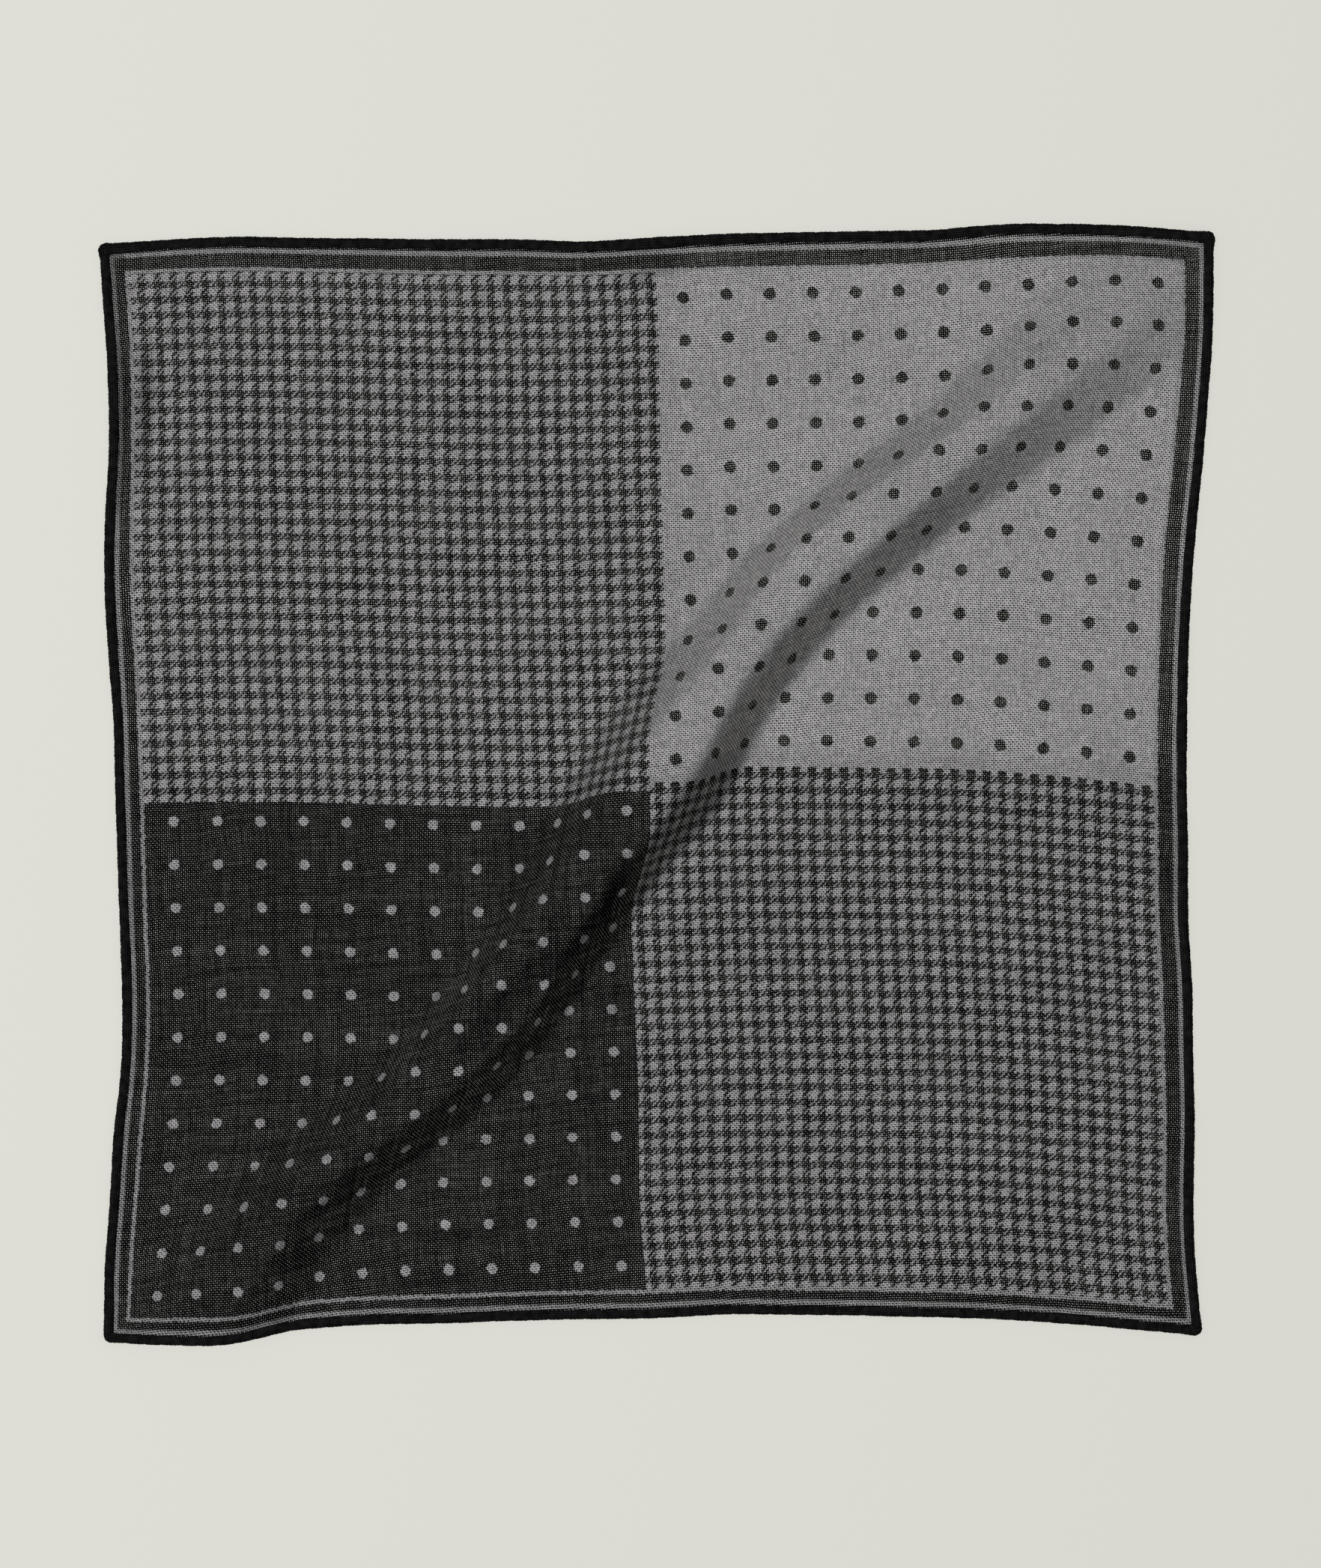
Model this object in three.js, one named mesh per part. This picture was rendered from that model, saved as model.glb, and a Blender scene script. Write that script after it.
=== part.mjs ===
// A printed pocket square: one thin open-weave cloth with a hand-rolled hem, laid open on a table.
// A soft ridge crosses it from corner to corner. Millimetres, +Z up, underside resting at z = 0.
//
// The shape is worked out on the flat cloth first. A point of the cloth is (u, v), in millimetres from
// the middle of the square, u to the right and v up. layCloth then says where that point lies.

import * as THREE from 'three';

// Driving sizes.
const SIDE = 330;
const HALF_SIDE = SIDE / 2;
const CLOTH_THICKNESS = 1;
const HEM_WIDTH = 3.6;
const HEM_THICKNESS = 2.3;
const CORNER_ROUNDING = 2;
const INNER_CELLS = 44;

// How far in from the edge the hem's waviness still moves the cloth.
const EDGE_REACH = 30;

// The lower half is pressed together a little, as a share of its length.
const LOWER_SETTLE = 0.0175;

// Share of a flank's width that is rounded off at its foot, and again at its crest.
const FLANK_ROUNDING = 0.22;

// Low waves that a laid cloth keeps. They stand on the flat ground between the hem and the ridge.
const RIPPLE_HEIGHT = 0.7;
const RIPPLE_ACROSS = 58;
const RIPPLE_ALONG = 150;
const RIPPLE_SLANT = 0.12;
const RIPPLE_MARGIN = 14;
const RIPPLE_FADE = 16;

// Step between the two cloth points from which a slope is taken.
const SLOPE_STEP = 0.05;

// The rolled hem's section: how far its underside and its top stand over the cloth's underside.
const HEM_SECTION = table(['inset', 'under', 'top'], [
  [0, 0.6, 1.7],
  [0.9, 0, HEM_THICKNESS],
  [2.7, 0, HEM_THICKNESS],
  [HEM_WIDTH, 0, CLOTH_THICKNESS],
]);

// Where the threads lie on either side of the ridge. A row thread at height v = place shifts sideways by
// upperX on the upper left of the ridge and by lowerX on the lower right of it. A column thread at
// u = place shifts up by upperY and by lowerY.
const THREADS = table(['place', 'upperX', 'lowerX', 'upperY', 'lowerY'], [
  [-165, -0.2, -1.8, -1.8, -1.8],
  [-132, 2.0, -4.4, -1.3, -0.7],
  [-99, 5.0, -4.9, -1.7, 2.2],
  [-66, 6.4, -6.2, -2.6, 4.3],
  [-33, 5.6, -7.5, -2.8, 5.0],
  [0, 4.9, -7.9, -2.0, 5.8],
  [33, 3.6, -7.4, -1.8, 6.6],
  [66, 2.5, -6.0, -1.1, 6.4],
  [99, 1.7, -2.8, 0.3, 5.8],
  [132, 1.2, 0.4, 1.9, 3.4],
  [165, -0.2, 0.0, 0.7, -0.2],
]);

// The ridge, a row for each section of it from the bottom left corner to the top right one. The middle
// of each flank is measured across the diagonal, towards the lower right.
const RIDGE = table(['along', 'upperMiddle', 'upperWidth', 'lowerMiddle', 'lowerWidth', 'height'], [
  [-233, 6, 26, 38, 26, 2],
  [-200, 3, 26, 32, 24, 6],
  [-170, 0, 24, 27, 24, 11],
  [-140, 1, 21, 27, 22, 13],
  [-110, 1, 20, 31, 20, 14.5],
  [-80, -2, 20, 31, 20, 15.5],
  [-50, -7, 23, 26, 22, 16],
  [-20, -14, 26, 21.5, 22, 16],
  [10, -19.5, 26, 18, 24, 16],
  [40, -21, 24, 9.5, 24, 15.5],
  [70, -24.5, 19, 6, 22, 14],
  [100, -22.5, 18, 7.5, 22, 12.5],
  [130, -17.5, 20, 9.5, 22, 10.5],
  [160, -15, 21, 12, 22, 8.5],
  [190, -12, 22, 13, 22, 5],
  [233, -10, 22, 13, 22, 0],
]);

// How far each side of the hem reaches outwards past a straight edge, going up or to the right.
const HEM_WAVES = table(['place', 'left', 'right', 'top', 'bottom'], [
  [-165, -1.5, -1.3, -3.2, -1.2],
  [-144, 0.0, -1.5, -1.9, 1.6],
  [-124, 0.3, -1.0, -1.1, 2.3],
  [-103, 1.0, -0.4, -1.2, 1.7],
  [-82, 0.0, 0.0, -0.8, 1.8],
  [-62, 0.0, 0.6, -0.5, 2.7],
  [-41, 0.2, 0.2, -0.3, 2.2],
  [-21, 0.5, 0.7, -1.3, 2.2],
  [0, 0.8, 0.5, -0.7, 2.5],
  [21, 0.5, 0.3, 0.4, 1.9],
  [41, 1.2, 0.2, 0.7, 2.3],
  [62, 1.7, 0.5, 0.5, 2.3],
  [82, 0.8, 0.5, 0.1, 2.6],
  [103, -0.9, 0.4, 0.9, 2.6],
  [124, -0.8, -0.3, -0.3, 2.4],
  [144, 0.0, -0.2, -1.3, 2.2],
  [165, 0.4, 0.7, -1.7, 1.5],
]);

// Short puckers beside the ridge and the hem: a soft swelling of the given length, width and height,
// its length turned from the row threads by the given degrees.
const PUCKERS = table(['u', 'v', 'turn', 'length', 'width', 'height'], [
  [-157, 112, 88, 62, 13, 2.6],
  [-33, -74, 66, 46, 15, 2.2],
  [-3, 158, 20, 44, 14, 1.4],
]);

/** Turns rows of numbers into records with the given column names. */
function table(columns, rows) {
  return rows.map((row) => Object.fromEntries(columns.map((name, i) => [name, row[i]])));
}

/** Reads one column at a place between rows, on a smooth curve through the rows. */
function readSmooth(rows, key, place, column) {
  const last = rows.length - 1;
  const at = THREE.MathUtils.clamp(place, rows[0][key], rows[last][key]);
  let i = 0;
  while (i < last - 1 && rows[i + 1][key] < at) i += 1;
  const slope = (j) => {
    const before = rows[Math.max(j - 1, 0)];
    const after = rows[Math.min(j + 1, last)];
    return (after[column] - before[column]) / (after[key] - before[key]);
  };
  const gap = rows[i + 1][key] - rows[i][key];
  const t = (at - rows[i][key]) / gap;
  const keepStart = 2 * t ** 3 - 3 * t ** 2 + 1;
  const bendStart = (t ** 3 - 2 * t ** 2 + t) * gap;
  const bendEnd = (t ** 3 - t ** 2) * gap;
  return keepStart * rows[i][column] + (1 - keepStart) * rows[i + 1][column]
    + bendStart * slope(i) + bendEnd * slope(i + 1);
}

/** Reads one column at a place between rows, on straight lines from row to row. */
function readStraight(rows, key, place, column) {
  const last = rows.length - 1;
  if (place >= rows[last][key]) return rows[last][column];
  let i = 0;
  while (rows[i + 1][key] < place) i += 1;
  return THREE.MathUtils.mapLinear(place, rows[i][key], rows[i + 1][key], rows[i][column], rows[i + 1][column]);
}

/** A smooth step from 0 to 1 as t goes from 0 to 1. */
function softStep(t) {
  return THREE.MathUtils.smoothstep(t, 0, 1);
}

/** A flank's height as a share, from 0 at its foot to 1 at its crest: straight, with rounded ends. */
function flankRise(t) {
  const r = FLANK_ROUNDING;
  if (t <= 0) return 0;
  if (t >= 1) return 1;
  if (t < r) return t ** 2 / (2 * r * (1 - r));
  if (t > 1 - r) return 1 - (1 - t) ** 2 / (2 * r * (1 - r));
  return (t - r / 2) / (1 - r);
}

/** How far a cloth point has passed each flank of the ridge, and how high the ridge is there. */
function ridgeAt(u, v) {
  const along = (u + v) / Math.SQRT2;
  const across = (u - v) / Math.SQRT2;
  const read = (column) => readSmooth(RIDGE, 'along', along, column);
  const upper = (across - read('upperMiddle')) / read('upperWidth') + 0.5;
  const lower = (across - read('lowerMiddle')) / read('lowerWidth') + 0.5;
  const passed = (softStep(upper) + softStep(lower)) / 2;
  const z = read('height') * (flankRise(upper) - flankRise(lower));
  const clear = Math.max(-upper * read('upperWidth'), (lower - 1) * read('lowerWidth'));
  return { passed, z, clear };
}

/** The outward push of a wavy hem, 1 at the edge and 0 at EDGE_REACH from it. */
function edgePush(distance) {
  return Math.max(0, 1 - distance / EDGE_REACH) ** 2;
}

/** Height of the puckers at a cloth point. */
function puckerHeight(u, v) {
  const swell = (t) => (Math.abs(t) < 1 ? Math.cos(t * Math.PI / 2) ** 2 : 0);
  return PUCKERS.reduce((height, pucker) => {
    const turn = THREE.MathUtils.degToRad(pucker.turn);
    const du = u - pucker.u;
    const dv = v - pucker.v;
    const along = du * Math.cos(turn) + dv * Math.sin(turn);
    const across = dv * Math.cos(turn) - du * Math.sin(turn);
    return height + pucker.height * swell(2 * along / pucker.length) * swell(2 * across / pucker.width);
  }, 0);
}

/** Height of the low waves at a cloth point, at a given clearance from the ridge's foot. */
function rippleHeight(u, v, clear) {
  const toEdge = HALF_SIDE - Math.max(Math.abs(u), Math.abs(v));
  const room = softStep((toEdge - RIPPLE_MARGIN) / RIPPLE_FADE) * softStep(clear / RIPPLE_FADE);
  const across = Math.sin(2 * Math.PI * (v + RIPPLE_SLANT * u) / RIPPLE_ACROSS);
  const along = Math.cos(2 * Math.PI * (u - RIPPLE_SLANT * v) / RIPPLE_ALONG);
  return RIPPLE_HEIGHT * room * Math.max(0, across) * Math.max(0, along);
}

/** How far a point on the edge is drawn in, at a given distance from the corner, to round the corner. */
function cornerPull(fromEdge, fromCorner) {
  if (fromEdge > 0 || fromCorner >= CORNER_ROUNDING) return 0;
  if (fromCorner <= 0) return CORNER_ROUNDING * (1 - Math.SQRT1_2);
  return CORNER_ROUNDING - Math.sqrt(CORNER_ROUNDING ** 2 - (CORNER_ROUNDING - fromCorner) ** 2);
}

/** The flat cloth's own outline has rounded corners: where a point of a plain square moves to. */
function roundCorners(u, v) {
  const fromSideX = HALF_SIDE - Math.abs(u);
  const fromSideY = HALF_SIDE - Math.abs(v);
  return [
    u - Math.sign(u) * cornerPull(fromSideX, fromSideY),
    v - Math.sign(v) * cornerPull(fromSideY, fromSideX),
  ];
}

/** Where a point of the cloth's underside lies. */
function layCloth(u, v) {
  const ridge = ridgeAt(u, v);
  const row = (column) => readSmooth(THREADS, 'place', v, column);
  const post = (column) => readSmooth(THREADS, 'place', u, column);
  const lowerY = post('lowerY') + LOWER_SETTLE * Math.max(0, -v);
  const wave = (place, column) => readSmooth(HEM_WAVES, 'place', place, column);
  const pushX = wave(v, 'right') * edgePush(HALF_SIDE - u) - wave(v, 'left') * edgePush(HALF_SIDE + u);
  const pushY = wave(u, 'top') * edgePush(HALF_SIDE - v) - wave(u, 'bottom') * edgePush(HALF_SIDE + v);
  return new THREE.Vector3(
    u + THREE.MathUtils.lerp(row('upperX'), row('lowerX'), ridge.passed) + pushX,
    v + THREE.MathUtils.lerp(post('upperY'), lowerY, ridge.passed) + pushY,
    ridge.z + puckerHeight(u, v) + rippleHeight(u, v, ridge.clear),
  );
}

/** The direction straight off the cloth's face at a point of it. */
function faceDirection(u, v) {
  const alongRow = layCloth(u + SLOPE_STEP, v).sub(layCloth(u - SLOPE_STEP, v));
  const alongColumn = layCloth(u, v + SLOPE_STEP).sub(layCloth(u, v - SLOPE_STEP));
  return alongRow.cross(alongColumn).normalize();
}

/** Places of the grid's threads from edge to edge: close together on the hem, even inside it. */
function gridPlaces() {
  const inset = HEM_SECTION.map((row) => row.inset);
  const inner = HALF_SIDE - HEM_WIDTH;
  const even = Array.from({ length: INNER_CELLS - 1 }, (_, i) => -inner + 2 * inner * (i + 1) / INNER_CELLS);
  const lowSide = inset.map((d) => -HALF_SIDE + d);
  const highSide = inset.map((d) => HALF_SIDE - d).reverse();
  return [...lowSide, ...even, ...highSide];
}

/** The whole cloth as one closed body: its top, its underside and the wall round its edge. */
function clothGeometry() {
  const places = gridPlaces();
  const count = places.length;
  const last = count - 1;
  const under = [];
  const top = [];
  for (const v of places) {
    for (const u of places) {
      const inset = HALF_SIDE - Math.max(Math.abs(u), Math.abs(v));
      const rounded = roundCorners(u, v);
      const base = layCloth(...rounded);
      const off = faceDirection(...rounded);
      under.push(base.clone().addScaledVector(off, readStraight(HEM_SECTION, 'inset', inset, 'under')));
      top.push(base.clone().addScaledVector(off, readStraight(HEM_SECTION, 'inset', inset, 'top')));
    }
  }

  const triangles = [];
  const quad = (a, b, c, d) => triangles.push(a, b, c, a, c, d);
  const topStart = under.length;
  const at = (i, j) => j * count + i;
  for (let j = 0; j < last; j += 1) {
    for (let i = 0; i < last; i += 1) {
      quad(topStart + at(i, j), topStart + at(i + 1, j), topStart + at(i + 1, j + 1), topStart + at(i, j + 1));
      quad(at(i, j), at(i, j + 1), at(i + 1, j + 1), at(i + 1, j));
    }
  }
  const wall = (a, b) => quad(a, b, topStart + b, topStart + a);
  for (let i = 0; i < last; i += 1) {
    wall(at(i, 0), at(i + 1, 0));
    wall(at(last, i), at(last, i + 1));
    wall(at(last - i, last), at(last - i - 1, last));
    wall(at(0, last - i), at(0, last - i - 1));
  }

  const geometry = new THREE.BufferGeometry().setFromPoints([...under, ...top]);
  geometry.setIndex(triangles);
  geometry.computeBoundingBox();
  const middle = geometry.boundingBox.getCenter(new THREE.Vector3());
  geometry.translate(-middle.x, -middle.y, 0);
  geometry.computeVertexNormals();
  return geometry;
}

const greyWool = new THREE.MeshStandardMaterial({ color: 0x5b5b5c, roughness: 0.92, metalness: 0 });

const pocketSquare = new THREE.Mesh(clothGeometry(), greyWool);
pocketSquare.name = 'pocket_square';

const part = new THREE.Group();
part.add(pocketSquare);

export default part;
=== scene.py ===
"""A pocket square laid open: open-weave printed cloth, a rolled hem and the hem's stitches.

Lengths are in millimetres until a mesh is made. A point of the flat cloth is (u, v), measured from the
middle of the square, u to the right and v up. The shape repeats the named sizes of the part's source.
"""

import logging
import math
from collections.abc import Callable
from dataclasses import dataclass, field
from enum import Enum

import bpy
import numpy as np
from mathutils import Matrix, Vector

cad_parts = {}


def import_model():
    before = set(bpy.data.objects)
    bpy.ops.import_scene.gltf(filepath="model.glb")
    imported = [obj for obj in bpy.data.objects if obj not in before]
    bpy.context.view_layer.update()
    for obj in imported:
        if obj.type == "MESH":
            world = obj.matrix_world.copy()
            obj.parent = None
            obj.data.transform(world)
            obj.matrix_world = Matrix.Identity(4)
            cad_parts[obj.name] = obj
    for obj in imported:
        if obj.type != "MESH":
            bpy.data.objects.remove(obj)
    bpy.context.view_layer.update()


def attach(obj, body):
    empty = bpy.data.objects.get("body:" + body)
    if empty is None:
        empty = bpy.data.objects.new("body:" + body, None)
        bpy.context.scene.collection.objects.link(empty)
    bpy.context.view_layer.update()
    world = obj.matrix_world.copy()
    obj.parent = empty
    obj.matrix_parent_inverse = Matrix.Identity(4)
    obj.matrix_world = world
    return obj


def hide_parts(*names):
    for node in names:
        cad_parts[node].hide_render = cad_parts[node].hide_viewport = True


LOG = logging.getLogger("pocket_square")

NODE = "pocket_square"
BODY = "root"

MM = 0.001
TINY = 1e-6
SIDE = 330.0
HALF = SIDE / 2

# The whole picture is this many pixels, and the cloth's finished side takes up SIDE_PIXELS of them.
PICTURE_WIDTH = 1764
PICTURE_HEIGHT = 2094
SIDE_PIXELS = 1484
PIXEL = SIDE / SIDE_PIXELS
CLOTH_MIDDLE_PIXEL = (876.5, 1047.5)

Array = np.ndarray


@dataclass(frozen=True)
class SmoothTable:
    """Rows of numbers under named columns, read on a smooth curve through the rows."""

    columns: tuple[str, ...]
    rows: tuple[tuple[float, ...], ...]

    def read(self, column: str, place: Array) -> Array:
        """Reads one column between the rows.

        Args:
            column: The column's name. The first column holds the places.
            place: Where to read. Places outside the rows read the nearest end.

        Returns:
            One value for each place.
        """
        rows = np.array(self.rows)
        keys = rows[:, 0]
        values = rows[:, self.columns.index(column)]
        index = np.arange(len(keys))
        before = np.maximum(index - 1, 0)
        after = np.minimum(index + 1, len(keys) - 1)
        slope = (values[after] - values[before]) / (keys[after] - keys[before])
        at = np.clip(place, keys[0], keys[-1])
        i = np.clip(np.searchsorted(keys, at) - 1, 0, len(keys) - 2)
        gap = keys[i + 1] - keys[i]
        t = (at - keys[i]) / gap
        keep = 2 * t**3 - 3 * t**2 + 1
        bend = (t**3 - 2 * t**2 + t) * gap * slope[i] + (t**3 - t**2) * gap * slope[i + 1]
        return keep * values[i] + (1 - keep) * values[i + 1] + bend


# Where the threads lie on either side of the ridge. A row thread at height v = place shifts sideways by
# upper_x on the upper left of the ridge and by lower_x on the lower right of it. A column thread at
# u = place shifts up by upper_y and by lower_y.
THREADS = SmoothTable(
    ("place", "upper_x", "lower_x", "upper_y", "lower_y"),
    (
        (-165, -0.2, -1.8, -1.8, -1.8),
        (-132, 2.0, -4.4, -1.3, -0.7),
        (-99, 5.0, -4.9, -1.7, 2.2),
        (-66, 6.4, -6.2, -2.6, 4.3),
        (-33, 5.6, -7.5, -2.8, 5.0),
        (0, 4.9, -7.9, -2.0, 5.8),
        (33, 3.6, -7.4, -1.8, 6.6),
        (66, 2.5, -6.0, -1.1, 6.4),
        (99, 1.7, -2.8, 0.3, 5.8),
        (132, 1.2, 0.4, 1.9, 3.4),
        (165, -0.2, 0.0, 0.7, -0.2),
    ),
)

# The ridge, a row for each section of it from the bottom left corner to the top right one. The middle of
# each flank is measured across the diagonal, towards the lower right.
RIDGE = SmoothTable(
    ("along", "upper_middle", "upper_width", "lower_middle", "lower_width", "height"),
    (
        (-233, 6, 26, 38, 26, 2),
        (-200, 3, 26, 32, 24, 6),
        (-170, 0, 24, 27, 24, 11),
        (-140, 1, 21, 27, 22, 13),
        (-110, 1, 20, 31, 20, 14.5),
        (-80, -2, 20, 31, 20, 15.5),
        (-50, -7, 23, 26, 22, 16),
        (-20, -14, 26, 21.5, 22, 16),
        (10, -19.5, 26, 18, 24, 16),
        (40, -21, 24, 9.5, 24, 15.5),
        (70, -24.5, 19, 6, 22, 14),
        (100, -22.5, 18, 7.5, 22, 12.5),
        (130, -17.5, 20, 9.5, 22, 10.5),
        (160, -15, 21, 12, 22, 8.5),
        (190, -12, 22, 13, 22, 5),
        (233, -10, 22, 13, 22, 0),
    ),
)

# How far each side of the hem reaches outwards past a straight edge, going up or to the right.
HEM_WAVES = SmoothTable(
    ("place", "left", "right", "top", "bottom"),
    (
        (-165, -1.5, -1.3, -3.2, -1.2),
        (-144, 0.0, -1.5, -1.9, 1.6),
        (-124, 0.3, -1.0, -1.1, 2.3),
        (-103, 1.0, -0.4, -1.2, 1.7),
        (-82, 0.0, 0.0, -0.8, 1.8),
        (-62, 0.0, 0.6, -0.5, 2.7),
        (-41, 0.2, 0.2, -0.3, 2.2),
        (-21, 0.5, 0.7, -1.3, 2.2),
        (0, 0.8, 0.5, -0.7, 2.5),
        (21, 0.5, 0.3, 0.4, 1.9),
        (41, 1.2, 0.2, 0.7, 2.3),
        (62, 1.7, 0.5, 0.5, 2.3),
        (82, 0.8, 0.5, 0.1, 2.6),
        (103, -0.9, 0.4, 0.9, 2.6),
        (124, -0.8, -0.3, -0.3, 2.4),
        (144, 0.0, -0.2, -1.3, 2.2),
        (165, 0.4, 0.7, -1.7, 1.5),
    ),
)


@dataclass(frozen=True)
class Pucker:
    """A soft swelling of the cloth, its length turned from the row threads by some degrees."""

    u: float
    v: float
    turn: float
    length: float
    width: float
    height: float

    def rise(self, u: Array, v: Array) -> Array:
        """Height of the swelling at cloth points.

        Args:
            u: Places to the right.
            v: Places upwards.

        Returns:
            One value for each place.
        """
        turn = math.radians(self.turn)
        du, dv = u - self.u, v - self.v
        along = np.abs(du * math.cos(turn) + dv * math.sin(turn)) * 2 / self.length
        across = np.abs(dv * math.cos(turn) - du * math.sin(turn)) * 2 / self.width
        swell = np.cos(np.minimum(along, 1) * math.pi / 2) * np.cos(np.minimum(across, 1) * math.pi / 2)
        return self.height * swell**2


@dataclass(frozen=True)
class Crease:
    """A narrow trough or ridge from one cloth point to another, bent sideways in its middle."""

    start: tuple[float, float]
    end: tuple[float, float]
    bow: float
    width: float
    height: float
    taper: float = 0.8

    def rise(self, u: Array, v: Array) -> Array:
        """Height of the crease at cloth points, below 0 for a trough.

        Args:
            u: Places to the right.
            v: Places upwards.

        Returns:
            One value for each place.
        """
        run = math.hypot(self.end[0] - self.start[0], self.end[1] - self.start[1])
        along_u = (self.end[0] - self.start[0]) / run
        along_v = (self.end[1] - self.start[1]) / run
        du, dv = u - self.start[0], v - self.start[1]
        t = np.clip((du * along_u + dv * along_v) / run, 0, 1)
        narrowing = np.sin(t * math.pi) ** self.taper
        across = dv * along_u - du * along_v - self.bow * np.sin(t * math.pi)
        return self.height * narrowing * np.exp(-((across / self.width) ** 2))


@dataclass(frozen=True)
class Ripples:
    """Low waves that a laid cloth keeps, on the flat ground between the hem and the ridge."""

    height: float = 0.7
    across: float = 58
    along: float = 150
    slant: float = 0.12
    margin: float = 14
    fade: float = 16

    def rise(self, u: Array, v: Array, clear: Array) -> Array:
        """Height of the waves at cloth points.

        Args:
            u: Places to the right.
            v: Places upwards.
            clear: Each place's clearance from the ridge's foot.

        Returns:
            One value for each place.
        """
        to_edge = HALF - np.maximum(np.abs(u), np.abs(v))
        room = soft_step((to_edge - self.margin) / self.fade) * soft_step(clear / self.fade)
        across = np.sin(2 * math.pi * (v + self.slant * u) / self.across)
        along = np.cos(2 * math.pi * (u - self.slant * v) / self.along)
        return self.height * room * np.maximum(0, across) * np.maximum(0, along)


def soft_step(t: Array) -> Array:
    """A smooth step from 0 to 1 as t goes from 0 to 1."""
    at = np.clip(t, 0, 1)
    return at * at * (3 - 2 * at)


PUCKERS = (
    Pucker(u=-157, v=112, turn=88, length=62, width=13, height=2.6),
    Pucker(u=-33, v=-74, turn=66, length=46, width=15, height=2.2),
    Pucker(u=-3, v=158, turn=20, length=44, width=14, height=1.4),
)

CREASES = (
    Crease(start=(-6, -22), end=(-12, -50), bow=-2, width=2.6, height=-1.6),
    Crease(start=(-12, -36), end=(-34, -60), bow=2, width=2.6, height=-1.5),
    Crease(start=(-26, -48), end=(-58, -84), bow=-2, width=3.0, height=-1.3),
    Crease(start=(-9, -54), end=(-9, -78), bow=1, width=2.0, height=1.1),
)

# Creases too fine for the part's own solid.
FINE_CREASES = (
    Crease(start=(-17, -59), end=(1, -54), bow=0.5, width=1.3, height=-0.7),
    Crease(start=(-3, -60), end=(-4, -117), bow=0.8, width=1.5, height=-0.7),
    Crease(start=(-12, -46), end=(4, -39), bow=-0.6, width=1.4, height=-0.8),
    Crease(start=(-60, -112), end=(-112, -134), bow=2.0, width=1.8, height=-1.0),
)


@dataclass(frozen=True)
class LaidCloth:
    """Where each point of the flat cloth lies once the square is laid open."""

    edge_reach: float = 30
    lower_settle: float = 0.0175
    flank_rounding: float = 0.22
    rim_points: int = 400
    ripples: Ripples = field(default_factory=Ripples)

    def flank_rise(self, t: Array) -> Array:
        """A flank's height, with rounded ends at its foot and its crest.

        Args:
            t: How far up the flank each point is, from 0 at the foot to 1 at the crest.

        Returns:
            The height as a share of the crest's.
        """
        r = self.flank_rounding
        t = np.clip(t, 0, 1)
        foot = t**2 / (2 * r * (1 - r))
        crest = 1 - (1 - t) ** 2 / (2 * r * (1 - r))
        return np.where(t < r, foot, np.where(t > 1 - r, crest, (t - r / 2) / (1 - r)))

    def ridge_at(self, u: Array, v: Array) -> tuple[Array, Array, Array]:
        """Looks up the ridge at cloth points.

        Args:
            u: Places to the right.
            v: Places upwards.

        Returns:
            How far each point has passed both flanks, the ridge's height there, and the point's
            clearance from the ridge's foot.
        """
        along = (u + v) / math.sqrt(2)
        across = (u - v) / math.sqrt(2)
        upper_width = RIDGE.read("upper_width", along)
        lower_width = RIDGE.read("lower_width", along)
        upper = (across - RIDGE.read("upper_middle", along)) / upper_width + 0.5
        lower = (across - RIDGE.read("lower_middle", along)) / lower_width + 0.5
        passed = (soft_step(upper) + soft_step(lower)) / 2
        rise = RIDGE.read("height", along) * (self.flank_rise(upper) - self.flank_rise(lower))
        clear = np.maximum(-upper * upper_width, (lower - 1) * lower_width)
        return passed, rise, clear

    def edge_push(self, distance: Array) -> Array:
        """The outward push of a wavy hem, 1 at the edge and 0 at edge_reach from it."""
        return np.maximum(0, 1 - distance / self.edge_reach) ** 2

    def lay(self, u: Array, v: Array) -> Array:
        """Lays cloth points down.

        Args:
            u: Places to the right.
            v: Places upwards.

        Returns:
            A row (x, y, z) for each point, in millimetres.
        """
        passed, rise, clear = self.ridge_at(u, v)
        lower_y = THREADS.read("lower_y", u) + self.lower_settle * np.maximum(0, -v)
        shift_x = (1 - passed) * THREADS.read("upper_x", v) + passed * THREADS.read("lower_x", v)
        shift_y = (1 - passed) * THREADS.read("upper_y", u) + passed * lower_y
        push_right = HEM_WAVES.read("right", v) * self.edge_push(HALF - u)
        push_left = HEM_WAVES.read("left", v) * self.edge_push(HALF + u)
        push_up = HEM_WAVES.read("top", u) * self.edge_push(HALF - v)
        push_down = HEM_WAVES.read("bottom", u) * self.edge_push(HALF + v)
        height = rise + self.ripples.rise(u, v, clear)
        for form in (*PUCKERS, *CREASES, *FINE_CREASES):
            height = height + form.rise(u, v)
        x = u + shift_x + push_right - push_left
        y = v + shift_y + push_up - push_down
        return np.stack([x, y, np.maximum(height, 0)], axis=-1)

    def middle(self) -> Array:
        """Finds the middle of the laid cloth's outline, where the part's own origin lies.

        Returns:
            The point (x, y, 0), in millimetres.
        """
        run = np.linspace(-HALF, HALF, self.rim_points)
        rim = np.full_like(run, HALF)
        edge = [self.lay(run, rim), self.lay(run, -rim), self.lay(rim, run), self.lay(-rim, run)]
        points = np.concatenate(edge)
        centre = (points.min(axis=0) + points.max(axis=0)) / 2
        return np.array([centre[0], centre[1], 0])


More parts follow.
